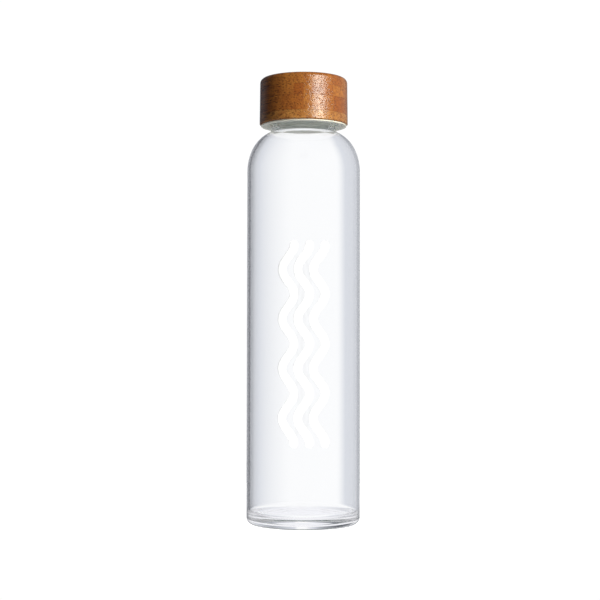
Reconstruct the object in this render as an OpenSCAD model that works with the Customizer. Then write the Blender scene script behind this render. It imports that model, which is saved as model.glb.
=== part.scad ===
// Glass water bottle with a bamboo screw cap.
// Millimetres, +Z up. The origin is the centre of the bearing ring that the bottle stands on,
// the Z axis is the bottle's own axis, and the printed side faces -Y.

/* [Bottle] */
// Outside diameter of the straight side
body_d = 75; // [60:0.5:95]
// Height at which the straight side ends and the shoulder begins
side_top = 233.3; // [150:0.1:300]
// Glass thickness of the side and the shoulder
wall = 2.2; // [1.6:0.1:3]
// Radius of the shoulder's first arc, next to the side
shoulder_low_r = 35.1; // [28:0.1:45]
// How far round the first shoulder arc goes, in degrees
shoulder_turn = 23; // [10:1:30]
// Radius of the shoulder's second arc, next to the neck
shoulder_high_r = 23.9; // [18:0.1:27]
// How much larger the inside of the second arc is than an even wall would make it, which thins the wall towards the neck
shoulder_slack = 3.8; // [0:0.1:5]

/* [Base] */
// Radius of the outside heel
heel_r = 4.6; // [2:0.1:6]
// Width of the flat ring that the bottle stands on
bearing_w = 3.6; // [2:0.1:6]
// Rise of the push-up under the base
punt_h = 2.8; // [1:0.1:6]
// Height of the lowest point of the inside floor
floor_t = 6.6; // [5:0.1:12]
// Radius of the inside heel
inner_heel_r = 4; // [2.5:0.1:14]
// Radius of the domed inside floor
floor_dome_r = 180; // [80:1:300]

/* [Neck] */
// Outside diameter of the neck below the thread
neck_d = 43.1; // [34:0.1:56]
// Glass thickness of the neck
neck_wall = 2.95; // [2:0.05:4]
// Radius of the hollow where the neck meets the shoulder
neck_fillet = 3; // [1.5:0.1:5]
// Rounding of the lip's inner and outer edge
lip_r = 0.8; // [0.3:0.1:1]
// Length of straight neck that shows below the closed cap
neck_gap = 1.9; // [1:0.1:8]

/* [Thread] */
// Rise of the thread in one turn
pitch = 4.2; // [3.8:0.1:6]
// Number of turns of thread
turns = 1.35; // [1:0.05:1.8]
// Height of the ridge above the neck
thread_h = 1.25; // [0.8:0.05:1.6]
// Width of the ridge at its root
thread_root_w = 2; // [1.4:0.1:2]
// Width of the ridge at its crest
thread_crest_w = 1; // [0.6:0.1:1.2]
// Distance from the lip down to the middle of the ridge's upper end
thread_drop = 3.2; // [2.5:0.1:6]
// Clearance between a ridge's crest and the wall opposite
thread_play = 0.35; // [0.25:0.05:0.6]
// Gap between the two loaded flanks when the cap is closed
flank_gap = 0.15; // [0.1:0.05:0.3]

/* [Cap] */
// Height of the bamboo block
cap_h = 31; // [26:0.1:45]
// Thickness of bamboo over the insert
cap_top_t = 7.75; // [4:0.05:12]
// Thickness of the bamboo skirt at its lower edge
cap_wall = 4.05; // [3:0.05:8]
// How much narrower the bamboo is at its top than at its lower edge, in radius
cap_draft = 0.35; // [0:0.05:1]
// Rounding of the bamboo's top edge
cap_edge_r = 3.2; // [1:0.1:5]
// Chamfer of the bamboo's lower edge
cap_chamfer = 0.6; // [0.2:0.1:1.2]

/* [Insert] */
// Wall of the insert round the disc
insert_wall = 1.35; // [1:0.05:3]
// Thickness of the insert's roof
insert_roof = 1.4; // [1:0.1:3]
// Thickness of the insert's flange
flange_t = 0.9; // [0.6:0.1:1.5]
// How far the flange stops short of the bamboo's lower edge
flange_inset = 0.35; // [0.1:0.05:1]
// Size of the lead-in chamfer inside the insert's mouth
lead_in = 1.6; // [0.8:0.1:2]
// Glue gap round the insert
glue_gap = 0.15; // [0.1:0.05:0.3]
// Number of ribs that stop the insert turning in the bamboo
rib_count = 12; // [6:1:24]
// Height of a rib above the insert's side
rib_h = 0.6; // [0.4:0.1:1]
// Width of a rib
rib_w = 1.2; // [0.8:0.1:2]

/* [Disc and seal] */
// Thickness of the steel disc
disc_t = 0.6; // [0.4:0.1:1]
// How far the disc's rim reaches over the insert's ledge
disc_catch = 0.4; // [0.3:0.05:0.8]
// Clearance round the disc's rim
disc_play = 0.3; // [0.2:0.05:0.5]
// Clearance between the disc and the insert's roof
roof_play = 0.05; // [0.02:0.01:0.2]
// Depth of the pressed step in the disc
disc_step = 0.7; // [0.3:0.1:1.2]
// Thickness of the seal
seal_t = 1.8; // [1:0.1:3]
// How far the seal reaches past the lip on each side
seal_over = 0.9; // [0.4:0.1:1]

/* [Print] */
// Height of the print's lower end
print_z = 53; // [20:1:100]
// Length of the print
print_h = 132; // [60:1:150]
// Number of wave lines
wave_lines = 3; // [1:1:4]
// Distance between two wave lines
wave_gap = 10; // [7:0.5:12]
// Width of a wave line
wave_w = 5.2; // [2:0.1:6]
// How far a wave line swings to each side
wave_swing = 3.8; // [1:0.1:6]
// Number of waves along a line
wave_count = 4; // [1:1:8]
// Thickness of the enamel
print_t = 0.08; // [0.05:0.01:0.2]

/* [Hidden] */
$fn = 96;

ridge_steps = 60;    // sections of a ridge in one turn
ridge_fade = 26;     // degrees over which a ridge's end runs out
ridge_bury = 0.5;    // how deep a ridge's root is buried in its wall
ridge_low_end = 0.12; // share of the full height at a ridge's very end, which stays buried
rib_foot = 2;        // distance of the ribs from the bamboo's lower edge
rib_head = 4;        // distance of the ribs from the insert's top
insert_chamfer = 0.5; // chamfer of the insert's upper edge
step_margin = 1;     // distance of the disc's step from the seal's bore
seal_edge_r = 0.3;   // rounding of the seal's edges
wave_steps = 16;     // straight stretches in one wave
end_steps = 8;       // straight stretches round the end of a wave line

body_r = body_d / 2;
neck_r = neck_d / 2;
bore_r = neck_r - neck_wall;

// Centres of the two shoulder arcs, as [radius, height]. The second carries on where the first ends.
low_c = [body_r - shoulder_low_r, side_top];
high_c = low_c + (shoulder_low_r - shoulder_high_r) * [cos(shoulder_turn), sin(shoulder_turn)];
// Inside, the second arc is larger by the slack and starts at the same point of the even wall.
inner_high_r = shoulder_high_r - wall + shoulder_slack;
inner_high_c = high_c - shoulder_slack * [cos(shoulder_turn), sin(shoulder_turn)];
// The hollow at the neck's root touches the neck and the second arc, outside and inside.
inner_fillet = neck_fillet + neck_wall;
root_c = root_centre(high_c, shoulder_high_r, neck_fillet, neck_r);
inner_root_c = root_centre(inner_high_c, inner_high_r, inner_fillet, bore_r);

// The inside floor is a dome that carries on from the inside heel.
heel_c = [body_r - wall - inner_heel_r, floor_t + inner_heel_r];
dome_c = [0, heel_c[1] - sqrt(pow(floor_dome_r + inner_heel_r, 2) - pow(heel_c[0], 2))];
dome_a = direction(dome_c, heel_c);
bearing_out_r = body_r - heel_r;
bearing_in_r = bearing_out_r - bearing_w;
punt_r = (pow(bearing_in_r, 2) + pow(punt_h, 2)) / (2 * punt_h);

// Heights, from the neck's root up through the closed cap.
flange_z = root_c[1] + neck_gap;
cap_z = flange_z + flange_t;
insert_top = cap_z + cap_h - cap_top_t;
roof_z = insert_top - insert_roof;
disc_z = roof_z - roof_play - disc_t;
lip_z = disc_z - seal_t;
ledge_z = disc_z - disc_play;

// Radii, from the thread outwards through the cap.
crest_r = neck_r + thread_h;
insert_in_r = crest_r + thread_play;
disc_r = insert_in_r + disc_catch;
groove_r = disc_r + disc_play;
insert_r = groove_r + insert_wall;
cap_bore_r = insert_r + glue_gap;
cap_r = cap_bore_r + cap_wall;
flange_r = cap_r - cap_chamfer - flange_inset;
seal_in_r = bore_r - seal_over;
seal_out_r = neck_r + seal_over;
wave_run = print_h - wave_w;
wave_length = wave_run / wave_count;

// Thread. The insert's ridge lies under the bottle's, a flank gap away along its whole length.
thread_z = lip_z - thread_drop - pitch * turns;
flank_narrowing = (thread_root_w - thread_crest_w) / thread_h;
buried_w = thread_root_w + flank_narrowing * ridge_bury;
flank_step = thread_root_w - flank_narrowing * (thread_h + thread_play) / 2 + flank_gap;

function direction(from, to) = atan2(to[1] - from[1], to[0] - from[0]);

// Centre of a fillet of radius r that touches a vertical wall at wall_r and an arc about c
function root_centre(c, arc_r, r, wall_r) =
    [wall_r + r, c[1] + sqrt(pow(arc_r + r, 2) - pow(wall_r + r - c[0], 2))];

// Points of an arc about c, without its first point, at most 3 degrees apart
function arc(c, r, a0, a1) =
    let (n = ceil(abs(a1 - a0) / 3))
    [for (i = [1:n]) let (a = a0 + (a1 - a0) * i / n) c + r * [cos(a), sin(a)]];

// A right-hand helical ridge, from a root at root_r to a crest at tip_r, climbing from z_low.
// Its ends run out into the wall that the root is buried in.
module ridge(root_r, tip_r, z_low) {
    steps = ceil(turns * ridge_steps);
    sweep = 360 * turns;
    points = [for (i = [0:steps]) let (
        a = sweep * i / steps,
        z = z_low + pitch * a / 360,
        height = max(ridge_low_end, min(1, min(a, sweep - a) / ridge_fade)),
        r = root_r + (tip_r - root_r) * height,
        turned = [cos(a), sin(a)]
    ) each [
        [each root_r * turned, z - buried_w / 2],
        [each r * turned, z - thread_crest_w / 2],
        [each r * turned, z + thread_crest_w / 2],
        [each root_r * turned, z + buried_w / 2]
    ]];
    end = 4 * steps;
    faces = [
        [0, 1, 2, 3],
        [end + 3, end + 2, end + 1, end],
        for (i = [0:steps - 1], k = [0:3]) let (p = 4 * i + k, q = 4 * i + (k + 1) % 4)
            each [[p, p + 4, q], [q, p + 4, q + 4]]
    ];
    outward = tip_r > root_r;
    polyhedron(points, [for (f = faces) outward ? [for (k = [len(f) - 1:-1:0]) f[k]] : f]);
}

module bottle_profile() {
    polygon(concat(
        // outside, from the bearing ring up to the lip
        [[bearing_out_r, 0]],
        arc([bearing_out_r, heel_r], heel_r, -90, 0),
        [[body_r, side_top]],
        arc(low_c, shoulder_low_r, 0, shoulder_turn),
        arc(high_c, shoulder_high_r, shoulder_turn, direction(high_c, root_c)),
        arc(root_c, neck_fillet, direction(high_c, root_c) + 180, 180),
        [[neck_r, lip_z - lip_r]],
        arc([neck_r - lip_r, lip_z - lip_r], lip_r, 0, 90),
        // inside, from the lip down to the floor
        [[bore_r + lip_r, lip_z]],
        arc([bore_r + lip_r, lip_z - lip_r], lip_r, 90, 180),
        [[bore_r, inner_root_c[1]]],
        arc(inner_root_c, inner_fillet, 180, direction(inner_high_c, inner_root_c) + 180),
        arc(inner_high_c, inner_high_r, direction(inner_high_c, inner_root_c), shoulder_turn),
        arc(low_c, shoulder_low_r - wall, shoulder_turn, 0),
        [[body_r - wall, heel_c[1]]],
        arc(heel_c, inner_heel_r, 0, dome_a - 180),
        arc(dome_c, floor_dome_r, dome_a, 90),
        // underside, out to the bearing ring
        [[0, punt_h]],
        arc([0, punt_h - punt_r], punt_r, 90, acos(bearing_in_r / punt_r))
    ));
}

module glass_bottle() color([0.82, 0.92, 0.92, 0.5]) {
    rotate_extrude() bottle_profile();
    ridge(neck_r - ridge_bury, crest_r, thread_z);
}

// One wave line: a band about a wave's path, with a round end at each end
module wave_line() {
    function path(t) = [wave_swing * cos(360 * t / wave_length), t];
    function heading(t) = atan2(1, -wave_swing * sin(360 * t / wave_length) * 2 * PI / wave_length);
    function side(t, turn) = path(t) + wave_w / 2 * [cos(heading(t) + turn), sin(heading(t) + turn)];
    count = wave_count * wave_steps;
    polygon(concat(
        [for (i = [0:count]) side(wave_run * i / count, -90)],
        [for (k = [1:end_steps - 1]) side(wave_run, -90 + 180 * k / end_steps)],
        [for (i = [count:-1:0]) side(wave_run * i / count, 90)],
        [for (k = [1:end_steps - 1]) side(0, 90 + 180 * k / end_steps)]
    ));
}

module printed_motif() color("white") intersection() {
    difference() {
        cylinder(r = body_r + print_t, h = side_top);
        translate([0, 0, -1]) cylinder(r = body_r, h = side_top + 2);
    }
    rotate([90, 0, 0]) linear_extrude(body_r + 1)
        for (i = [0:wave_lines - 1])
            translate([(i - (wave_lines - 1) / 2) * wave_gap, print_z + wave_w / 2]) wave_line();
}

// The ribs on the insert's side. The bamboo's slots are the same ribs grown by the glue gap.
module ribs(grow, z0, z1) {
    for (i = [0:rib_count - 1]) rotate(360 * i / rib_count)
        translate([insert_r - rib_h, -rib_w / 2 - grow, z0])
            cube([2 * rib_h + grow, rib_w + 2 * grow, z1 - z0]);
}

module bamboo_cap() color([0.74, 0.5, 0.28]) difference() {
    rotate_extrude() polygon(concat(
        [[0, cap_z], [cap_r - cap_chamfer, cap_z], [cap_r, cap_z + cap_chamfer]],
        [[cap_r - cap_draft, cap_z + cap_h - cap_edge_r]],
        arc([cap_r - cap_draft - cap_edge_r, cap_z + cap_h - cap_edge_r], cap_edge_r, 0, 90),
        [[0, cap_z + cap_h]]
    ));
    translate([0, 0, cap_z - 1]) cylinder(r = cap_bore_r, h = insert_top - cap_z + 1);
    ribs(glue_gap, cap_z - 1, insert_top - rib_head + glue_gap);
}

module thread_insert() color([0.93, 0.9, 0.82]) {
    rotate_extrude() polygon([
        [insert_in_r + lead_in, flange_z], [flange_r, flange_z], [flange_r, cap_z], [insert_r, cap_z],
        [insert_r, insert_top - insert_chamfer], [insert_r - insert_chamfer, insert_top],
        [0, insert_top], [0, roof_z], [groove_r, roof_z], [groove_r, ledge_z],
        [insert_in_r, ledge_z], [insert_in_r, flange_z + lead_in]
    ]);
    ridge(insert_in_r + ridge_bury, insert_in_r - thread_h, thread_z - flank_step);
    ribs(0, cap_z + rib_foot, insert_top - rib_head);
}

module steel_disc() color([0.75, 0.76, 0.78]) rotate_extrude() {
    step_out_r = seal_in_r - step_margin;
    corner = disc_t * tan(22.5);
    polygon([
        [0, disc_z - disc_step], [step_out_r - disc_step, disc_z - disc_step], [step_out_r, disc_z],
        [disc_r, disc_z], [disc_r, disc_z + disc_t], [step_out_r - corner, disc_z + disc_t],
        [step_out_r - disc_step - corner, disc_z - disc_step + disc_t], [0, disc_z - disc_step + disc_t]
    ]);
}

module seal_ring() color([0.95, 0.95, 0.93]) rotate_extrude() {
    e = seal_edge_r;
    polygon(concat(
        [[seal_in_r + e, lip_z], [seal_out_r - e, lip_z]],
        arc([seal_out_r - e, lip_z + e], e, -90, 0),
        [[seal_out_r, disc_z - e]],
        arc([seal_out_r - e, disc_z - e], e, 0, 90),
        [[seal_in_r + e, disc_z]],
        arc([seal_in_r + e, disc_z - e], e, 90, 180),
        [[seal_in_r, lip_z + e]],
        arc([seal_in_r + e, lip_z + e], e, 180, 270 - 3)
    ));
}

glass_bottle();
printed_motif();
bamboo_cap();
thread_insert();
steel_disc();
seal_ring();
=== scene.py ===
# %% [markdown]
# # A glass water bottle with a bamboo screw cap
# This file builds the looks of a one-litre glass water bottle. The exact model, with its joints, is loaded
# first and stays where it is. Around it, each part that is seen gets a finer mesh and a finish of its own.
# All lengths are in metres inside Blender, and in millimetres where a person reads them.

import math

import bpy
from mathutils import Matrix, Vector


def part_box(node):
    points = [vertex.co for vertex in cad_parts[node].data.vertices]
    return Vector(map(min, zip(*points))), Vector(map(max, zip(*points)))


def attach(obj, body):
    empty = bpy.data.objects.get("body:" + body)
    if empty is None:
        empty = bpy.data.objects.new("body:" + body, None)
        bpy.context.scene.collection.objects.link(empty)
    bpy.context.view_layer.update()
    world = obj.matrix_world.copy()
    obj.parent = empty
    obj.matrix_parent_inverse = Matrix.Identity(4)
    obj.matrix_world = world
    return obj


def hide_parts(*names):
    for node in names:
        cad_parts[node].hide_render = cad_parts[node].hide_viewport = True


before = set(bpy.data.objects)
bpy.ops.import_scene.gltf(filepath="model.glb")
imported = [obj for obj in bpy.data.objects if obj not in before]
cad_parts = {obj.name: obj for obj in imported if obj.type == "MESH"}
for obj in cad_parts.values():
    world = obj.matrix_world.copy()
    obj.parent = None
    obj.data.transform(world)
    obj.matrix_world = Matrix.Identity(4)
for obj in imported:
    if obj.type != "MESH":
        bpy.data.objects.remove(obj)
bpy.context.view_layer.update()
MM = 0.001

# %% [markdown]
# ## Sizes that come from the exact model
# A lathe-turned piece is known by its radii and heights. The outer ones are read from the boxes of the
# exact parts, so the finer meshes land on them without any fitting. The walls and roundings that a box
# can't tell are written here as a glass maker or a turner would give them.

# %% Read radii and heights, in millimetres


def reach(part):
    """Lowest height, highest height and largest radius of an exact part."""
    low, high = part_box(part)
    return low.z / MM, high.z / MM, high.x / MM


_, lip_z, body_r = reach("glass_bottle")
cap_z, cap_top, cap_r = reach("bamboo_cap")
flange_z, insert_top, flange_r = reach("thread_insert")
disc_low, disc_top, disc_r = reach("steel_disc")
_, disc_z, seal_out_r = reach("seal_ring")
print(f"body radius {body_r:.2f}, lip at {lip_z:.2f}, cap from {cap_z:.2f} to {cap_top:.2f}")

# %% [markdown]
# ## A little arithmetic for node trees
# Node trees do sums with Math nodes, and a formula soon takes a dozen of them. The class below lets a
# formula be written as plain arithmetic: each + or * on a Wire adds the Math node and joins it up. The
# trees that result can be opened and read in the node editor like any other.

# %% Helpers for node trees


def plug(place, value):
    """Puts a number, colour or wire into a node's input."""
    if isinstance(value, Wire):
        place.id_data.links.new(value.socket, place)
    else:
        place.default_value = value


class Wire:
    """A number that flows through a node tree."""

    def __init__(self, socket):
        self.socket = socket

    def math(self, operation, *others):
        node = self.socket.id_data.nodes.new("ShaderNodeMath")
        node.operation = operation
        for place, value in zip(node.inputs, (self, *others)):
            plug(place, value)
        return Wire(node.outputs[0])

    def __add__(self, other):
        return self.math("ADD", other)

    def __sub__(self, other):
        return self.math("SUBTRACT", other)

    def __mul__(self, other):
        return self.math("MULTIPLY", other)

    def __truediv__(self, other):
        return self.math("DIVIDE", other)

    def __rsub__(self, other):
        return self * -1.0 + other

    __radd__ = __add__
    __rmul__ = __mul__

    def clamped(self):
        node = self.socket.id_data.nodes.new("ShaderNodeClamp")
        plug(node.inputs[0], self)
        return Wire(node.outputs[0])


def add(tree, kind, inputs=None, **settings):
    """Adds a node. Its inputs are set or joined by name, and its settings by keyword."""
    node = tree.nodes.new(kind)
    for name, value in settings.items():
        setattr(node, name, value)
    for name, value in (inputs or {}).items():
        plug(node.inputs[name], value)
    return node


def out(node, name=0):
    return Wire(node.outputs[name])


def parts_of(tree, vector):
    node = add(tree, "ShaderNodeSeparateXYZ", {"Vector": vector})
    return [out(node, axis) for axis in "XYZ"]


def vector_of(tree, x, y, z):
    return out(add(tree, "ShaderNodeCombineXYZ", {"X": x, "Y": y, "Z": z}))


SOCKETS = {int: "NodeSocketInt", float: "NodeSocketFloat", type(None): "NodeSocketMaterial"}


def shape_tree(name, sizes):
    """A Geometry Nodes tree with a named input for each size, and the wires that come from them."""
    tree = bpy.data.node_groups.new(name, "GeometryNodeTree")
    tree.interface.new_socket("Geometry", in_out="INPUT", socket_type="NodeSocketGeometry")
    for size, value in sizes.items():
        socket = tree.interface.new_socket(size, in_out="INPUT", socket_type=SOCKETS[type(value)])
        if value is not None:
            socket.default_value = value
    tree.interface.new_socket("Geometry", in_out="OUTPUT", socket_type="NodeSocketGeometry")
    source = tree.nodes.new("NodeGroupInput")
    return tree, {name: out(source, name) for name in ("Geometry", *sizes)}


def end_tree(tree, geometry, material):
    """Shades the result smooth, makes instances real, gives it its material and ends the tree."""
    smooth = out(add(tree, "GeometryNodeSetShadeSmooth", {"Geometry": geometry}))
    real = out(add(tree, "GeometryNodeRealizeInstances", {"Geometry": smooth}))
    done = out(add(tree, "GeometryNodeSetMaterial", {"Geometry": real, "Material": material}))
    add(tree, "NodeGroupOutput", {"Geometry": done})


def grown(name, start, tree, sizes):
    """Runs a tree on a start mesh and returns the result as an object with a plain mesh."""
    piece = bpy.data.objects.new(name, start)
    bpy.context.scene.collection.objects.link(piece)
    modifier = piece.modifiers.new(tree.name, "NODES")
    modifier.node_group = tree
    for item in tree.interface.items_tree:
        if item.in_out == "INPUT" and item.name in sizes:
            modifier[item.identifier] = sizes[item.name]
    ready = piece.evaluated_get(bpy.context.evaluated_depsgraph_get())
    piece.data, made_from = bpy.data.meshes.new_from_object(ready), piece.data
    piece.modifiers.clear()
    bpy.data.meshes.remove(made_from)
    piece.data.name = name
    print(f"{name}: {len(piece.data.vertices)} points, {len(piece.data.polygons)} faces")
    return piece


print("node helpers are ready")

# %% [markdown]
# ## The lathe tree
# Every part of this bottle is round: the glass, the bamboo, the plastic insert, the disc and the seal. So
# one Geometry Nodes tree turns them all. It takes a profile, which is a chain of points in the XZ plane,
# and lays a grid round the Z axis whose columns are copies of that chain. Merging by distance closes the
# seam and the poles.
# The same tree also cuts what repeats or follows a path on a turned part. A helical thread ridge is a
# rule: it climbs one pitch for each turn, so the distance from any point to the ridge's middle can be
# worked out from the point's angle and height. Notches and ribs repeat round the axis in the same way.
# Two attributes on the profile say how far the ridge and the notches push each of its points.

# %% Build the lathe tree
lathe_sizes = {
    "Columns": 432,
    "Ridge Start": 0.0,
    "Ridge Pitch": 0.0042,
    "Ridge Turns": 1.0,
    "Ridge Root": 0.002,
    "Ridge Crest": 0.001,
    "Ridge Fade": 0.45,
    "Notches": 12,
    "Notch Share": 0.5,
    "Notch Softness": 0.5,
    "Material": None,
}
lathe, size = shape_tree("turn_profile", lathe_sizes)
rows = out(add(lathe, "GeometryNodeAttributeDomainSize", {"Geometry": size["Geometry"]}), "Point Count")
grid = add(lathe, "GeometryNodeMeshGrid", {"Vertices X": size["Columns"] + 1.0, "Vertices Y": rows})
index = out(add(lathe, "GeometryNodeInputIndex"))
column = ((index + 0.5) / rows).math("FLOOR")
row = index - column * rows
angle = column / size["Columns"] * math.tau


def from_profile(kind, value):
    """The value that the profile has at this row."""
    inputs = {"Geometry": size["Geometry"], "Value": value, "Index": row}
    return out(add(lathe, "GeometryNodeSampleIndex", inputs, data_type=kind))


def profile_note(kind, name):
    return out(add(lathe, "GeometryNodeInputNamedAttribute", {"Name": name}, data_type=kind))


place = from_profile("FLOAT_VECTOR", out(add(lathe, "GeometryNodeInputPosition")))
radius, _, height = parts_of(lathe, place)
ridge_lift = from_profile("FLOAT", profile_note("FLOAT", "ridge"))
notch_out, _, notch_up = parts_of(lathe, from_profile("FLOAT_VECTOR", profile_note("FLOAT_VECTOR", "notch")))

# Turns from the ridge's low end, for the stretch of ridge that is nearest in height
climb = (height - size["Ridge Start"]) / size["Ridge Pitch"] - angle / math.tau
whole = climb.math("ROUND")
apart = ((climb - whole) * size["Ridge Pitch"]).math("ABSOLUTE")
half_root, half_crest = size["Ridge Root"] / 2.0, size["Ridge Crest"] / 2.0
flank = ((half_root - apart) / (half_root - half_crest)).clamped()
gone_round = angle + whole * math.tau
left_over = size["Ridge Turns"] * math.tau - gone_round
fade = (gone_round.math("MINIMUM", left_over) / size["Ridge Fade"]).clamped()
bulge = flank * flank * (3.0 - flank * 2.0) * fade * ridge_lift

step = angle * size["Notches"] / math.tau
off_centre = (step - step.math("ROUND")).math("ABSOLUTE")
notch = (0.5 + (size["Notch Share"] / 2.0 - off_centre) / size["Notch Softness"]).clamped()
radius = radius + bulge + notch * notch_out
height = height + notch * notch_up

spot = vector_of(lathe, radius * angle.math("COSINE"), radius * angle.math("SINE"), height)
turned_grid = out(add(lathe, "GeometryNodeSetPosition", {"Geometry": out(grid, "Mesh"), "Position": spot}))
closed = out(add(lathe, "GeometryNodeMergeByDistance", {"Geometry": turned_grid, "Distance": 1e-6}))
end_tree(lathe, closed, size["Material"])
print("lathe tree:", len(lathe.nodes), "nodes")

# %% [markdown]
# ## Drawing profiles
# A profile is drawn with the solid on its left, so that the faces of the turned part point outwards. Real
# edges are never perfectly sharp: each corner of a profile is given with its rounding, and the rounding
# is what catches a thin line of light in a render.

# %% Helpers that draw a profile


def arc(centre, radius, start, end, most=4.0):
    """Points of an arc, from start to end in degrees, at most so many degrees apart."""
    count = max(1, math.ceil(abs(end - start) / most))
    turns = [math.radians(start + (end - start) * i / count) for i in range(count + 1)]
    return [(centre[0] + radius * math.cos(a), centre[1] + radius * math.sin(a)) for a in turns]


def rounded(corners, most=12.0):
    """Points of a chain of (radius, height, rounding) corners, with each rounding drawn as an arc."""
    points = []
    for i, (r, z, rounding) in enumerate(corners):
        if not rounding:
            points.append((r, z))
            continue
        before, after = corners[i - 1], corners[(i + 1) % len(corners)]
        way_in = math.atan2(z - before[1], r - before[0])
        way_out = math.atan2(after[1] - z, after[0] - r)
        bend = (way_out - way_in + math.pi) % math.tau - math.pi
        setback = abs(rounding * math.tan(bend / 2))
        side = math.copysign(1.0, bend)
        start = way_in - side * math.pi / 2
        centre = (
            r - setback * math.cos(way_in) - side * rounding * math.sin(way_in),
            z - setback * math.sin(way_in) + side * rounding * math.cos(way_in),
        )
        points += arc(centre, rounding, math.degrees(start), math.degrees(start + bend), most)
    return points


def filled(points, low, high, gap):
    """The chain with extra points on its upright stretches, so that a ridge has points to push."""
    result = [points[0]]
    for (r0, z0), (r1, z1) in zip(points, points[1:]):
        if abs(r1 - r0) < 1e-4 and abs(z1 - z0) > gap:
            a, b = max(low, min(z0, z1)), min(high, max(z0, z1))
            if b > a:
                count = math.ceil((b - a) / gap)
                extra = [a + (b - a) * i / count for i in range(count + 1)]
                extra = [z for z in extra if 1e-3 < abs(z - z0) and 1e-3 < abs(z - z1)]
                result += [(r0, z) for z in (extra if z1 > z0 else reversed(extra))]
        result.append((r1, z1))
    return result


def profile_mesh(name, points, ridge=None, notch=None):
    """A chain of points as a mesh, with what the ridge and the notches do at each of them."""
    mesh = bpy.data.meshes.new(name + "_profile")
    edges = [(i, i + 1) for i in range(len(points) - 1)]
    mesh.from_pydata([(r * MM, 0, z * MM) for r, z in points], edges, [])
    lifts = mesh.attributes.new("ridge", "FLOAT", "POINT")
    pushes = mesh.attributes.new("notch", "FLOAT_VECTOR", "POINT")
    for i, (r, z) in enumerate(points):
        lifts.data[i].value = MM * (ridge(r, z) if ridge else 0)
        push_out, push_up = notch(r, z) if notch else (0, 0)
        pushes.data[i].vector = (MM * push_out, 0, MM * push_up)
    return mesh


print("profile helpers are ready")

# %% [markdown]
# ## Colours and a shared finish
# Colours are picked the way a paint chip is named, as red, green and blue from 0 to 255, and turned into
# the linear values that a shader needs.
# No surface is perfectly even. Handling leaves faint marks in plastic, enamel, silicone and steel alike,
# so one node group makes them, and each material uses it at its own scale and strength.

# %% Colour helper and the shared handling marks


def chip(red, green, blue):
    """A colour from 0 to 255 as the linear colour that a shader needs."""
    scaled = [v / 255 for v in (red, green, blue)]
    return tuple(v / 12.92 if v <= 0.04045 else ((v + 0.055) / 1.055) ** 2.4 for v in scaled) + (1.0,)


def group_of(name, numbers, results):
    """A shader node group with named number inputs and outputs, and the wires that come in."""
    group = bpy.data.node_groups.new(name, "ShaderNodeTree")
    for number, value in numbers.items():
        socket = group.interface.new_socket(number, in_out="INPUT", socket_type="NodeSocketFloat")
        socket.default_value = value
    for result in results:
        group.interface.new_socket(result, in_out="OUTPUT", socket_type="NodeSocketFloat")
    source = group.nodes.new("NodeGroupInput")
    return group, [out(source, number) for number in numbers]


def here(tree):
    """The place on the piece, from its own Object coordinates."""
    return out(add(tree, "ShaderNodeTexCoord"), "Object")


marks, (grains, spread) = group_of(
    "handling_marks", {"Grains per Metre": 2500.0, "Spread": 1.0}, ("Grain", "Smudge")
)
grain = add(marks, "ShaderNodeTexNoise", {"Vector": here(marks), "Scale": grains, "Detail": 4.0})
smudge = add(marks, "ShaderNodeTexNoise", {"Vector": here(marks), "Scale": grains / 30.0, "Detail": 3.0})
spread_grain = (out(grain) - 0.5) * spread + 0.5
spread_smudge = (out(smudge) - 0.5) * spread + 0.5
add(marks, "NodeGroupOutput", {"Grain": spread_grain, "Smudge": spread_smudge})


def finish(name):
    """An empty material: its tree, its Principled shader and the material itself."""
    material = bpy.data.materials.new(name)
    material.use_nodes = True
    tree = material.node_tree
    tree.nodes.clear()
    shader = add(tree, "ShaderNodeBsdfPrincipled")
    end = add(tree, "ShaderNodeOutputMaterial")
    tree.links.new(shader.outputs["BSDF"], end.inputs["Surface"])
    return material, tree, shader


def set_on(shader, **values):
    """Sets plain values on a shader's own sockets; Coat_Weight means the socket Coat Weight."""
    for name, value in values.items():
        shader.inputs[name.replace("_", " ")].default_value = value


def between(tree, factor, low, high):
    """A colour that goes from low to high with the factor."""
    node = add(tree, "ShaderNodeMix", data_type="RGBA")
    plug(node.inputs["Factor"], factor)
    plug(node.inputs[6], low)
    plug(node.inputs[7], high)
    return Wire(node.outputs[2])


def bumped(tree, shader, height, depth):
    """Lets a height in millimetres times depth tilt the shader's normal."""
    inputs = {"Height": height, "Distance": depth * MM, "Strength": 1.0}
    tilted = out(add(tree, "ShaderNodeBump", inputs))
    plug(shader.inputs["Normal"], tilted)
    plug(shader.inputs["Coat Normal"], tilted)


def marked(tree, **values):
    """The shared marks, placed in a material with its own values."""
    node = add(tree, "ShaderNodeGroup", node_tree=marks)
    for name, value in values.items():
        node.inputs[name.replace("_", " ")].default_value = value
    return out(node, "Grain"), out(node, "Smudge")


print("finish helpers are ready")

# %% [markdown]
# ## The glass
# Clear bottle glass is a shell with an inside and an outside, and a renderer needs both: light bends once
# on its way in and once on its way out. Because the mesh is the real wall, with a thick floor and a thick
# heel, the dark edges and the bright rings at the base come by themselves.
# The tint is faint. Moulded glass is also never optically flat, so a slow, shallow bump stands for the
# ripples that the mould leaves. They run up the bottle, so the pattern changes slowest with height.

# %% Glass finish
glass, tree, shader = finish("bottle_glass")
set_on(shader, Base_Color=(0.989, 0.993, 0.998, 1), Roughness=0.0, IOR=1.5, Transmission_Weight=1.0)
x, y, z = parts_of(tree, here(tree))
ripples_round, ripples_up = 40.0, 9.0
stretched = vector_of(tree, x * ripples_round, y * ripples_round, z * ripples_up)
ripple = add(tree, "ShaderNodeTexNoise", {"Vector": stretched, "Scale": 1.0, "Detail": 1.0})
bumped(tree, shader, out(ripple), 0.02)
print("glass:", len(tree.nodes), "nodes")

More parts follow.
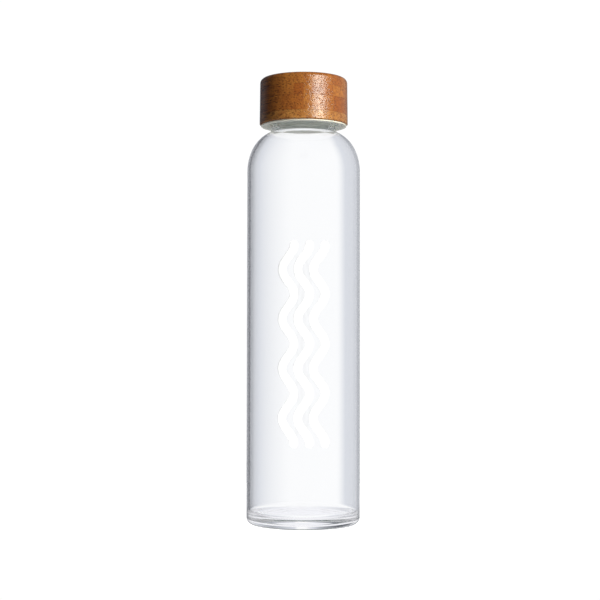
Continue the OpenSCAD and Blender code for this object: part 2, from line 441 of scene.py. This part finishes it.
# %% [markdown]
# ## The bottle
# A bottle is blown into a mould and its profile is a chain of arcs: a rounded heel, a straight side, two
# shoulder arcs that run into each other, a small hollow at the root of the neck, and a fire-polished lip.
# The inside follows the outside at the thickness of the wall up to the shoulder. Along the second shoulder
# arc the inside arc is larger by the slack, so the wall thins towards the neck. The slack was chosen by how
# the glass then bends light under the neck. The floor is a thick, slightly domed puddle.
# It could be spun by hand from a curve, but the lathe tree keeps the thread and the knurling in the same
# watertight mesh, which glass must have. The thicknesses are estimates: no bottle was cut or measured.

# %% Bottle profile
wall, neck_wall, neck_r = 2.2, 2.95, 21.55
shoulder_low_r, shoulder_turn, shoulder_high_r, side_top = 35.1, 23.0, 23.9, 233.3
shoulder_slack = 3.8
heel_r, bearing_w, punt_h, floor_t, inner_heel_r, floor_dome_r = 4.6, 3.6, 2.8, 6.6, 4.0, 180.0
neck_fillet, lip_r, pitch, turns = 3.0, 0.8, 4.2, 1.35
bore_r = neck_r - neck_wall
ridge_start = lip_z - 3.2 - pitch * turns
ridge_reach = (ridge_start - 1.2, ridge_start + pitch * turns + 1.2)
ridge_height = 1.25


def toward(here, there):
    return math.degrees(math.atan2(there[1] - here[1], there[0] - here[0]))


def root_of_neck(arc_r, fillet, wall_r, centre):
    """Centre of a fillet that touches an upright wall and the shoulder's second arc."""
    across = wall_r + fillet - centre[0]
    return wall_r + fillet, centre[1] + math.sqrt((arc_r + fillet) ** 2 - across**2)


turn = math.radians(shoulder_turn)
low_c = (body_r - shoulder_low_r, side_top)
shift = shoulder_low_r - shoulder_high_r
high_c = (low_c[0] + shift * math.cos(turn), low_c[1] + shift * math.sin(turn))
inner_high_r = shoulder_high_r - wall + shoulder_slack
inner_high_c = (high_c[0] - shoulder_slack * math.cos(turn), high_c[1] - shoulder_slack * math.sin(turn))
inner_fillet = neck_fillet + neck_wall
root_c = root_of_neck(shoulder_high_r, neck_fillet, neck_r, high_c)
inner_root_c = root_of_neck(inner_high_r, inner_fillet, bore_r, inner_high_c)
heel_c = (body_r - wall - inner_heel_r, floor_t + inner_heel_r)
dome_c = (0.0, heel_c[1] - math.sqrt((floor_dome_r + inner_heel_r) ** 2 - heel_c[0] ** 2))
dome_a = toward(dome_c, heel_c)
bearing_out = body_r - heel_r
bearing_in = bearing_out - bearing_w
punt_r = (bearing_in**2 + punt_h**2) / (2 * punt_h)
up, up_in = toward(high_c, root_c), toward(inner_high_c, inner_root_c)
punt_edge = math.degrees(math.acos(bearing_in / punt_r))

bottle_profile = (
    arc((0, punt_h - punt_r), punt_r, 90, punt_edge, 1.2)
    + [(bearing_in + bearing_w * i / 6, 0) for i in range(1, 6)]
    + arc((bearing_out, heel_r), heel_r, -90, 0, 6)
    + arc(low_c, shoulder_low_r, 0, shoulder_turn, 1.8)
    + arc(high_c, shoulder_high_r, shoulder_turn, up, 1.8)[1:]
    + arc(root_c, neck_fillet, up + 180, 180, 8)[1:]
    + arc((neck_r - lip_r, lip_z - lip_r), lip_r, 0, 90, 15)
    + arc((bore_r + lip_r, lip_z - lip_r), lip_r, 90, 180, 15)
    + arc(inner_root_c, inner_fillet, 180, up_in + 180, 6)
    + arc(inner_high_c, inner_high_r, up_in, shoulder_turn, 2.5)[1:]
    + arc(low_c, shoulder_low_r - wall, shoulder_turn, 0, 2.5)[1:]
    + arc(heel_c, inner_heel_r, 0, dome_a - 180, 5)
    + arc(dome_c, floor_dome_r, dome_a, 90, 1.5)[1:]
)
bottle_profile = filled(bottle_profile, *ridge_reach, 0.2)
print("bottle profile:", len(bottle_profile), "points")


def on_neck(r, z):
    return ridge_height if abs(r - neck_r) < 1e-3 and ridge_reach[0] < z < ridge_reach[1] else 0


def knurl(r, z):
    """Grooves pressed across the bearing ring, shallower at both of its edges."""
    if z > 1.0 or r < bearing_in - 0.4:
        return 0, 0
    return 0, 0.3 * max(0.0, 1 - abs((r - (bearing_in + bearing_out) / 2) / (0.62 * bearing_w)) ** 3)


# %% [markdown]
# ## Turning the bottle
# The lathe tree now turns the profile. The ridge is the thread that the cap screws onto, and the notches
# are the grooves of the bearing ring, which keep most of it off a cold conveyor while the glass is hot.

# %% Turn the bottle
bottle = grown(
    "clear_bottle",
    profile_mesh("bottle", bottle_profile, on_neck, knurl),
    lathe,
    {
        "Ridge Start": ridge_start * MM, "Ridge Pitch": pitch * MM, "Ridge Turns": turns,
        "Ridge Root": 2.0 * MM, "Ridge Crest": 1.0 * MM, "Notches": 108, "Material": glass,
    },
)

# %% [markdown]
# ## Bamboo
# The cap is cut from a board that is glued up from bamboo strips. Three things make it look like bamboo and
# not like wood. The board has plies of different heights with thin dark glue lines between them. Each ply
# is made of strips, each with a tone of its own. And every strip is full of fibre bundles, all of which
# run the same way: cut across, they are dark dots, and cut along, they are long fine streaks.
# All of this is one solid pattern that the cap is carved from, so the nodes work out three distances for
# each point: along the fibres, across them, and up. Stretching a cell pattern along the fibres gives dots
# and streaks at once, each on the side where it belongs.

# %% Bamboo finish
bamboo, tree, shader = finish("bamboo")
GRAIN_HEADING = math.radians(32)
GLUE_LINES = (6.0, 16.0, 23.2)
x, y, z = [axis * 1000.0 for axis in parts_of(tree, here(tree))]
along = x * math.sin(GRAIN_HEADING) - y * math.cos(GRAIN_HEADING)
across = x * math.cos(GRAIN_HEADING) + y * math.sin(GRAIN_HEADING)
up_cap = z - cap_z

waviness = add(
    tree,
    "ShaderNodeTexNoise",
    {"Vector": vector_of(tree, along * 0.03, across * 0.1, up_cap * 0.1), "Scale": 1.0, "Detail": 2.0},
)
sway = (out(waviness) - 0.5) * 1.6
ply = 0.0
glue = 100.0
for line in GLUE_LINES:
    ply = (up_cap + sway * 0.15).math("GREATER_THAN", line) + ply
    off_line = (up_cap + sway * 0.15 - line).math("ABSOLUTE")
    glue = off_line if glue == 100.0 else glue.math("MINIMUM", off_line)
strip_at = (across + ply * 5.3) / (8.0 + (ply * 2.3).math("SINE") * 3.0)
strip = strip_at.math("FLOOR")
strip_edge = ((strip_at - strip - 0.5).math("ABSOLUTE") * -1.0 + 0.5) * 8.0
this_strip = vector_of(tree, strip, ply, 3.0)
dice = add(tree, "ShaderNodeTexWhiteNoise", {"Vector": this_strip}, noise_dimensions="3D")
strip_tone = out(dice, "Value")


def cells(size, length, blur):
    """Fibre bundles of this size in millimetres: 1 at the middle of a bundle, 0 between bundles."""
    where = vector_of(tree, (across + sway * 0.5) / size, (up_cap + sway * 0.4) / size, along / length)
    node = add(tree, "ShaderNodeTexVoronoi", {"Vector": where, "Scale": 1.0, "Randomness": 0.9})
    return (1.0 - (out(node, "Distance") - 0.16) / blur).clamped()


def streaks(width, length, seed):
    where = vector_of(tree, across / width + seed, up_cap / width, along / length)
    inputs = {"Vector": where, "Scale": 1.0, "Detail": 4.0, "Roughness": 0.6}
    return out(add(tree, "ShaderNodeTexNoise", inputs))


bundles = cells(1.3, 30.0, 0.28)
fine_bundles = cells(0.7, 20.0, 0.3)
broad_streaks = streaks(2.6, 38.0, 7.0)
thin_streaks = streaks(0.4, 30.0, 3.0)

colour = between(tree, strip_tone, chip(166, 92, 38), chip(198, 128, 58))
# The lowest ply is mixed towards a lighter tan. This is partly that ply's own tone and partly painted light,
# standing for the bright table lighting the bottom of the cap.
colour = between(tree, (1.0 - ply).clamped() * 0.4, colour, chip(222, 164, 92))
colour = between(tree, ((broad_streaks - 0.42) * 3.2).clamped() * 0.75, colour, chip(146, 80, 38))
colour = between(tree, ((thin_streaks - 0.45) * 2.6).clamped() * 0.85, colour, chip(116, 60, 26))
colour = between(tree, fine_bundles * 0.45, colour, chip(104, 56, 26))
colour = between(tree, bundles * 0.6, colour, chip(78, 42, 20))
seam = (1.0 - glue / 0.22).clamped().math("MAXIMUM", (1.0 - strip_edge / 0.15).clamped() * 0.2)
colour = between(tree, seam * 0.45, colour, chip(70, 36, 18))
plug(shader.inputs["Base Color"], colour)
plug(shader.inputs["Roughness"], 0.34 + bundles * 0.2 + thin_streaks * 0.12)
set_on(shader, Coat_Weight=1.0, Coat_Roughness=0.14, Coat_IOR=1.5, IOR=1.45, Specular_IOR_Level=0.15)
bumped(tree, shader, bundles * -0.8 + fine_bundles * -0.3 + thin_streaks * 0.6 - seam * 0.5, 0.1)
print("bamboo:", len(tree.nodes), "nodes")

# %% [markdown]
# ## The bamboo cap
# The block is turned on a lathe, so the lathe tree suits it. Its side leans in a little towards the top,
# the top edge is rounded so that it feels soft, and the lower edge has a small bevel. The bore holds the
# plastic insert, with twelve slots for the ribs that stop the insert from turning.

# %% Turn the bamboo cap
insert_r, rib_h, glue_gap, rib_count = 25.2, 0.6, 0.15, 12
cap_bore = insert_r + glue_gap
slot_top = insert_top - 4.0 + glue_gap
cap_profile = rounded(
    [
        (0, insert_top, 0), (cap_bore, insert_top, 0.2), (cap_bore, slot_top + 0.02, 0),
        (cap_bore, slot_top, 0), (cap_bore, cap_z, 0.25), (cap_r - 0.6, cap_z, 0.25),
        (cap_r, cap_z + 0.6, 0.35),
        (cap_r - 0.35, cap_top, 3.2), (0, cap_top, 0),
    ],
    6,
)


def slots(r, z):
    return (rib_h, 0) if abs(r - cap_bore) < 0.01 and z < slot_top + 0.01 else (0, 0)


cap = grown(
    "bamboo_block",
    profile_mesh("cap", cap_profile, notch=slots),
    lathe,
    {"Notches": rib_count, "Notch Share": 0.115, "Notch Softness": 0.02, "Material": bamboo},
)

# %% [markdown]
# ## The threaded insert
# Bamboo can't hold a thread, so the cap has a moulded plastic insert. Its flange covers the lower end of
# the bamboo and is the cream line that is seen under the cap. Inside it has the same helical ridge as the
# glass, pointing inwards and lying just under it, and a groove above that holds the disc. Outside it has
# ribs. A moulded part has small, even roundings everywhere, which the profile gives it.

# %% Cream plastic and the insert
plastic, tree, shader = finish("cream_plastic")
grain_at, smudge_at = marked(tree, Grains_per_Metre=3500.0, Spread=1.2)
plug(shader.inputs["Base Color"], between(tree, smudge_at, chip(226, 220, 202), chip(240, 236, 222)))
plug(shader.inputs["Roughness"], 0.36 + smudge_at * 0.14)
set_on(shader, IOR=1.49, Subsurface_Weight=0.08, Subsurface_Radius=(0.002, 0.0016, 0.0012))
bumped(tree, shader, grain_at, 0.02)

crest_r = neck_r + ridge_height
insert_in = crest_r + 0.35
groove_r, ledge_z, roof_z = disc_r + 0.3, disc_z - 0.3, disc_top + 0.05
lead_in = 1.6
insert_ridge = ridge_start - 1.51
insert_reach = (insert_ridge - 1.2, insert_ridge + pitch * turns + 1.2)
rib_low, rib_top = cap_z + 2.0, insert_top - 4.0
insert_profile = rounded(
    [
        (0, roof_z, 0), (groove_r, roof_z, 0.15), (groove_r, ledge_z, 0.1), (insert_in, ledge_z, 0.12),
        (insert_in, flange_z + lead_in, 0.4), (insert_in + lead_in, flange_z, 0.25),
        (flange_r, flange_z, 0.25), (flange_r, cap_z, 0.2), (insert_r, cap_z, 0),
        (insert_r, rib_low, 0), (insert_r, rib_low + 0.02, 0), (insert_r, rib_top - 0.02, 0),
        (insert_r, rib_top, 0), (insert_r, insert_top, 0.5), (0, insert_top, 0),
    ]
)
insert_profile = filled(insert_profile, *insert_reach, 0.2)


def inside(r, z):
    return -ridge_height if abs(r - insert_in) < 1e-3 and insert_reach[0] < z < insert_reach[1] else 0


def ribs(r, z):
    return (rib_h, 0) if abs(r - insert_r) < 1e-3 and rib_low + 0.01 < z < rib_top - 0.01 else (0, 0)


insert = grown(
    "threaded_insert",
    profile_mesh("insert", insert_profile, inside, ribs),
    lathe,
    {
        "Ridge Start": insert_ridge * MM, "Ridge Pitch": pitch * MM, "Ridge Turns": turns,
        "Ridge Root": 2.0 * MM, "Ridge Crest": 1.0 * MM, "Notches": rib_count,
        "Notch Share": 0.09, "Notch Softness": 0.02, "Material": plastic,
    },
)

# %% [markdown]
# ## The steel disc
# A pressed stainless disc keeps the drink away from the bamboo. It snaps into the insert's groove and
# stays free to turn there, so the seal under it doesn't scrape on the lip. Brushing a turned disc leaves
# rings, so the pattern is made from the distance to the axis.

# %% Brushed steel disc
steel, tree, shader = finish("liner_steel")
grain_at, smudge_at = marked(tree, Grains_per_Metre=1800.0)
x, y, z = parts_of(tree, here(tree))
from_axis = (x * x + y * y).math("SQRT")
rings_per_metre = 9000.0
ring_at = vector_of(tree, from_axis * rings_per_metre, 0.0, 0.0)
brushing = out(add(tree, "ShaderNodeTexNoise", {"Vector": ring_at, "Detail": 3.0}))
plug(shader.inputs["Base Color"], between(tree, brushing, chip(196, 198, 201), chip(222, 223, 225)))
plug(shader.inputs["Roughness"], 0.2 + brushing * 0.16 + smudge_at * 0.1)
set_on(shader, Metallic=1.0)
bumped(tree, shader, brushing, 0.006)

step_out, disc_t, corner = 16.7, 0.6, 0.25
disc_profile = rounded(
    [
        (0, disc_low, 0), (step_out - 0.7, disc_low, 0.5), (step_out, disc_z, 0.4),
        (disc_r, disc_z, 0.12), (disc_r, disc_top, 0.12), (step_out - corner, disc_top, 0.4),
        (step_out - 0.7 - corner, disc_low + disc_t, 0.5), (0, disc_low + disc_t, 0),
    ]
)
disc = grown("pressed_disc", profile_mesh("disc", disc_profile), lathe, {"Material": steel})

# %% [markdown]
# ## The silicone seal
# A flat washer of milky silicone is pressed between the disc and the glass lip. Silicone lets a little
# light into itself, so it has some subsurface scattering. Its profile is a closed loop, which leaves the
# hole in the middle.

# %% Silicone seal
silicone, tree, shader = finish("seal_silicone")
grain_at, smudge_at = marked(tree, Grains_per_Metre=4000.0)
plug(shader.inputs["Base Color"], between(tree, smudge_at, chip(228, 228, 222), chip(242, 242, 238)))
plug(shader.inputs["Roughness"], 0.42 + grain_at * 0.12)
set_on(shader, IOR=1.41, Subsurface_Weight=0.2, Subsurface_Radius=(0.003, 0.003, 0.0026))
bumped(tree, shader, grain_at, 0.01)

seal_in_r = bore_r - 0.9
seal_profile = rounded(
    [
        (seal_in_r, lip_z, 0.3), (seal_out_r, lip_z, 0.3),
        (seal_out_r, disc_z, 0.3), (seal_in_r, disc_z, 0.3),
    ],
    15,
)
seal_loop = profile_mesh("seal", seal_profile + seal_profile[:1])
seal = grown("seal_washer", seal_loop, lathe, {"Material": silicone})

# %% [markdown]
# ## White enamel
# The decoration is white enamel, screen printed on the glass and fired. It is nearly an even white, so its
# finish is only a faint change of tone and gloss from the shared handling marks.

# %% White enamel
enamel, tree, shader = finish("white_enamel")
grain_at, smudge_at = marked(tree, Grains_per_Metre=5000.0, Spread=1.4)
plug(shader.inputs["Base Color"], between(tree, smudge_at, chip(244, 245, 246), chip(252, 252, 253)))
plug(shader.inputs["Roughness"], 0.3 + grain_at * 0.16)
set_on(shader, IOR=1.5)
bumped(tree, shader, grain_at, 0.01)
print("enamel:", len(tree.nodes), "nodes")

# %% [markdown]
# ## The printed waves
# The print is three wave lines, and a wave line is a path that follows a rule: it swings to the side as the
# cosine of the height. The tree lays a narrow grid along that path, gives it round ends, projects it onto
# the cylinder, and gives it the thickness of the enamel.

# %% Build the wave tree and print the waves
wave_sizes = {
    "Foot": 0.053, "Length": 0.132, "Width": 0.0052, "Swing": 0.0038, "Waves": 4, "Aside": 0.0,
    "Radius": 0.0375, "Gap": 0.00002, "Thickness": 0.00006, "Steps Along": 240, "Steps Across": 12,
    "Material": None,
}
waves, size = shape_tree("wave_line", wave_sizes)
columns, in_column = size["Steps Across"] + 1.0, size["Steps Along"] + 1.0
grid = add(waves, "GeometryNodeMeshGrid", {"Vertices X": columns, "Vertices Y": in_column})
index = out(add(waves, "GeometryNodeInputIndex"))
column = ((index + 0.5) / in_column).math("FLOOR")
share_across = column / size["Steps Across"] * 2.0 - 1.0
share_along = (index - column * in_column) / size["Steps Along"]
half = size["Width"] / 2.0
run = size["Length"] - size["Width"]

# Points crowd towards both ends, so that the round ends are smooth
eased = (1.0 - (share_along * math.pi).math("COSINE")) / 2.0
along = eased * size["Length"] - half
beyond = (along * -1.0).math("MAXIMUM", along - run).math("MAXIMUM", 0.0)
half_here = (half * half - beyond * beyond).math("MAXIMUM", 0.0).math("SQRT")
on_path = along.math("MAXIMUM", 0.0).math("MINIMUM", run)
phase = on_path / run * size["Waves"] * math.tau
slope = phase.math("SINE") * size["Swing"] * size["Waves"] * math.tau / run * -1.0
length = (slope * slope + 1.0).math("SQRT")
off = half_here * share_across
wave_x = phase.math("COSINE") * size["Swing"] + off / length + size["Aside"]
wave_z = along - off * slope / length + half + size["Foot"]
inner = size["Radius"] + size["Gap"]
wave_y = (inner * inner - wave_x * wave_x).math("SQRT") * -1.0
spot = vector_of(waves, wave_x, wave_y, wave_z)
sheet = out(add(waves, "GeometryNodeSetPosition", {"Geometry": out(grid, "Mesh"), "Position": spot}))
lift = {"Mesh": sheet, "Offset Scale": size["Thickness"], "Individual": False}
raised = out(add(waves, "GeometryNodeExtrudeMesh", lift))
back = out(add(waves, "GeometryNodeFlipFaces", {"Mesh": sheet}))
both = add(waves, "GeometryNodeJoinGeometry")
waves.links.new(raised.socket, both.inputs[0])
waves.links.new(back.socket, both.inputs[0])
solid = out(add(waves, "GeometryNodeMergeByDistance", {"Geometry": out(both), "Distance": 1e-6}))
end_tree(waves, solid, size["Material"])

wave_spacing = 10 * MM
prints = []
for i in range(3):
    sizes = {"Aside": (i - 1) * wave_spacing, "Material": enamel}
    prints.append(grown("wave_%d" % (i + 1), bpy.data.meshes.new("start"), waves, sizes))

# %% [markdown]
# ## Putting each finer piece in place
# Each finer piece rides on the body of the exact part that it stands for, and takes its place.

# %% Ride and replace
pieces = [
    (bottle, "bottle", "glass_bottle", "bottle_glass"),
    (cap, "cap", "bamboo_cap", "bamboo"),
    (insert, "cap", "thread_insert", "cream_plastic"),
    (disc, "liner", "steel_disc", "liner_steel"),
    (seal, "liner", "seal_ring", "seal_silicone"),
] + [(wave, "bottle", "printed_motif", "white_enamel") for wave in prints]
for piece, body, part, slot in pieces:
    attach(piece, body)
    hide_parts(part)

# %% [markdown]
# ## The floor
# The floor is a plain pale disc. It gives off a little white light of its own, so that it runs into the
# white surroundings without an edge or a shadow. The glass doesn't show it.

# %% Floor
floor_r, floor_drop = 0.26, 0.0002
bpy.ops.mesh.primitive_circle_add(
    vertices=128, radius=floor_r, fill_type="NGON", location=(0, 0, -floor_drop)
)
floor = bpy.context.object
floor.name = "floor"
pale, tree, shader = finish("pale_floor")
set_on(shader, Base_Color=(0.9, 0.9, 0.9, 1), Roughness=0.7)
set_on(shader, Emission_Color=(1, 1, 1, 1), Emission_Strength=0.9)
floor.data.materials.append(pale)
floor.visible_transmission = False
floor.visible_glossy = False
print("floor radius:", floor_r)

# %% [markdown]
# ## The studio round the glass
# Clear glass has no colour of its own: it shows what is around it, bent. In front of a plain white wall it
# would vanish, so a photographer keeps the wall white behind the bottle and lets it fall off to grey at
# both sides. The glass bends its outermost rays towards those sides, and that draws its edges.
# The world shader does this with plain greys placed by their angle round the bottle, from the front. One
# row of greys is what light passing through the glass meets, another is what its surface reflects, and the
# camera itself sees plain white.
# One rule here is a stage trick and not how a room works. A ray that crosses both walls passes four glass
# surfaces. Only such rays, and rays that pass two surfaces and turn once inside the wall as in a mirror,
# see the row of greys. All other rays through the glass see pale light, which keeps the thick base bright.
# The greys are placed for a view from the front, so the glass looks different from the other sides.

# %% World
world = bpy.data.worlds.new("studio")
bpy.context.scene.world = world
world.use_nodes = True
tree = world.node_tree
tree.nodes.clear()
x, y, z = parts_of(tree, out(add(tree, "ShaderNodeTexCoord"), "Generated"))
aside = x.math("ARCTAN2", y) * (180 / math.pi)


def studio_grey(level):
    """A plain grey from 0 to 255, a little cool, as in a daylight studio."""
    return chip(level, min(255, level + 3), min(255, level + 10))


def ramp(factor, low, high, stops):
    """Plain greys by position: stops are (position, level from 0 to 255) between low and high."""
    node = add(tree, "ShaderNodeValToRGB")
    plug(node.inputs[0], ((factor - low) / (high - low)).clamped())
    while len(node.color_ramp.elements) < len(stops):
        node.color_ramp.elements.new(0.5)
    for element, (position, level) in zip(node.color_ramp.elements, stops):
        element.position = (position - low) / (high - low)
        element.color = studio_grey(level)
    return out(node)


WHITE, PALE, MIDDLE, DIM, DARK = 255, 215, 165, 110, 70
SIDEWAYS = [
    (-60, WHITE), (-45, DIM), (-30, DARK), (-13, MIDDLE), (-7, PALE), (-1, WHITE),
    (4, WHITE), (6, PALE), (24, MIDDLE), (45, PALE), (60, WHITE),
]
steep = ((z.math("ABSOLUTE") - 0.5) / 0.3).clamped()
behind = between(tree, steep, ramp(aside, -60, 60, SIDEWAYS), (0.9, 0.9, 0.93, 1))
UNLIT = 35
ROUND_ABOUT = [
    (-180, UNLIT), (-75, UNLIT), (-50, DIM), (-20, DARK), (0, 190), (5, DIM), (60, 150), (180, UNLIT),
]
around = between(tree, steep, ramp(aside, -180, 180, ROUND_ABOUT), (0.05, 0.05, 0.05, 1))
rays = add(tree, "ShaderNodeLightPath")
crossed = out(rays, "Transmission Depth")
mirrored = out(rays, "Ray Depth") - 1.0 - crossed
both_walls = 4.0
plain = (crossed + mirrored * 2.0 - both_walls).math("ABSOLUTE").math("LESS_THAN", 0.5)
pale_light = (0.93, 0.93, 0.96, 1)
behind = between(tree, plain, pale_light, behind)
seen_through = between(tree, out(rays, "Is Transmission Ray"), around, behind)
shown = between(tree, out(rays, "Is Camera Ray"), seen_through, (1, 1, 1, 1))
sky = add(tree, "ShaderNodeBackground", {"Color": shown})
sky.inputs["Strength"].default_value = 1.03
end = add(tree, "ShaderNodeOutputWorld")
tree.links.new(sky.outputs[0], end.inputs["Surface"])
print("studio:", len(tree.nodes), "nodes")

# %% [markdown]
# ## The key lamp
# The wood wants the opposite of the glass: one big soft lamp from the right, and little light from the
# left. Light linking gives the lamp a list of what it lights. The glass isn't on it, so the lamp leaves no
# white patch on the glass, and a second list keeps the glass from shading the pieces behind it.

# %% Key lamp
lamp = bpy.data.lights.new("key", "AREA")
lamp.shape, lamp.size, lamp.size_y, lamp.energy = "RECTANGLE", 0.46, 0.8, 14.5
lamp.color = (0.98, 1.0, 0.92)
key = bpy.data.objects.new("key", lamp)
bpy.context.scene.collection.objects.link(key)
target = Vector((0, 0, 0.27))
heading, rise = math.radians(41), math.radians(20)
level = math.cos(rise)
key.location = target + Vector((math.sin(heading) * level, -math.cos(heading) * level, math.sin(rise)))
key.rotation_euler = (target - key.location).to_track_quat("-Z", "Y").to_euler()
key.visible_camera = False
key.visible_transmission = False
lit = bpy.data.collections.new("lit_by_key")
for piece in (cap, insert, disc, seal, *prints, floor):
    lit.objects.link(piece)
key.light_linking.receiver_collection = lit
key.light_linking.blocker_collection = lit

# %% [markdown]
# ## Light from the table
# A bright table throws light up through the glass and under the cap. Light that has gone through glass is
# slow for a path tracer to find, so two weak lamps stand in for it: a wide one, and a small cool one inside
# the shoulder. A third fills the print from the front left. Each lights only the pieces on its list.

# %% Light from the table


def lamp_at(name, place, aim, size, size_y, energy, receivers):
    """A soft lamp that lights only the given pieces, and that glass doesn't block."""
    light = bpy.data.lights.new(name, "AREA")
    light.shape, light.size, light.size_y, light.energy = "RECTANGLE", size, size_y, energy
    lamp = bpy.data.objects.new(name, light)
    bpy.context.scene.collection.objects.link(lamp)
    lamp.location = place
    lamp.rotation_euler = (Vector(aim) - lamp.location).to_track_quat("-Z", "Y").to_euler()
    lamp.visible_camera = lamp.visible_transmission = False
    chosen = bpy.data.collections.new("lit_by_" + name)
    for piece in receivers:
        chosen.objects.link(piece)
    lamp.light_linking.receiver_collection = chosen
    lamp.light_linking.blocker_collection = lit
    return lamp


lamp_at("table_glow", (0, 0, 0.15), (0, 0, 0.3), 0.5, 0.5, 0.16, (insert, disc, seal))
neck_glow = lamp_at("neck_glow", (0, 0, 0.25), (0, 0, 0.3), 0.026, 0.026, 0.0042, (insert, disc, seal))
neck_glow.data.color = (0.73, 0.89, 1.0)
lamp_at("print_fill", (-0.4, -0.9, 0.12), (0, 0, 0.12), 0.5, 0.5, 4.0, prints)
print("lamps:", len(bpy.data.lights))

# %% [markdown]
# ## The camera
# It stands low in front, with its lens a little below half the bottle's height and tilted up by less than
# two degrees, so the underside of the cap's flange just shows. Light inside the thick base bounces many
# times before it leaves, and paths that are cut short come out black, so the bounce limits are raised.

# %% Camera
lens = bpy.data.cameras.new("camera")
lens.lens, lens.sensor_width = 81.2, 36.0
lens.clip_start, lens.clip_end = 0.05, 20
camera = bpy.data.objects.new("camera", lens)
bpy.context.scene.collection.objects.link(camera)
camera.location = (-0.0022, -0.900, 0.1216)
camera.rotation_euler = (math.radians(90 + 1.684), math.radians(-0.1), 0)
bpy.context.scene.camera = camera
bpy.context.scene.view_settings.view_transform = "Standard"
bounces = 128
bpy.context.scene.cycles.max_bounces = bounces
bpy.context.scene.cycles.glossy_bounces = bounces
bpy.context.scene.cycles.transmission_bounces = bounces
print("camera at", [round(place, 4) for place in camera.location])
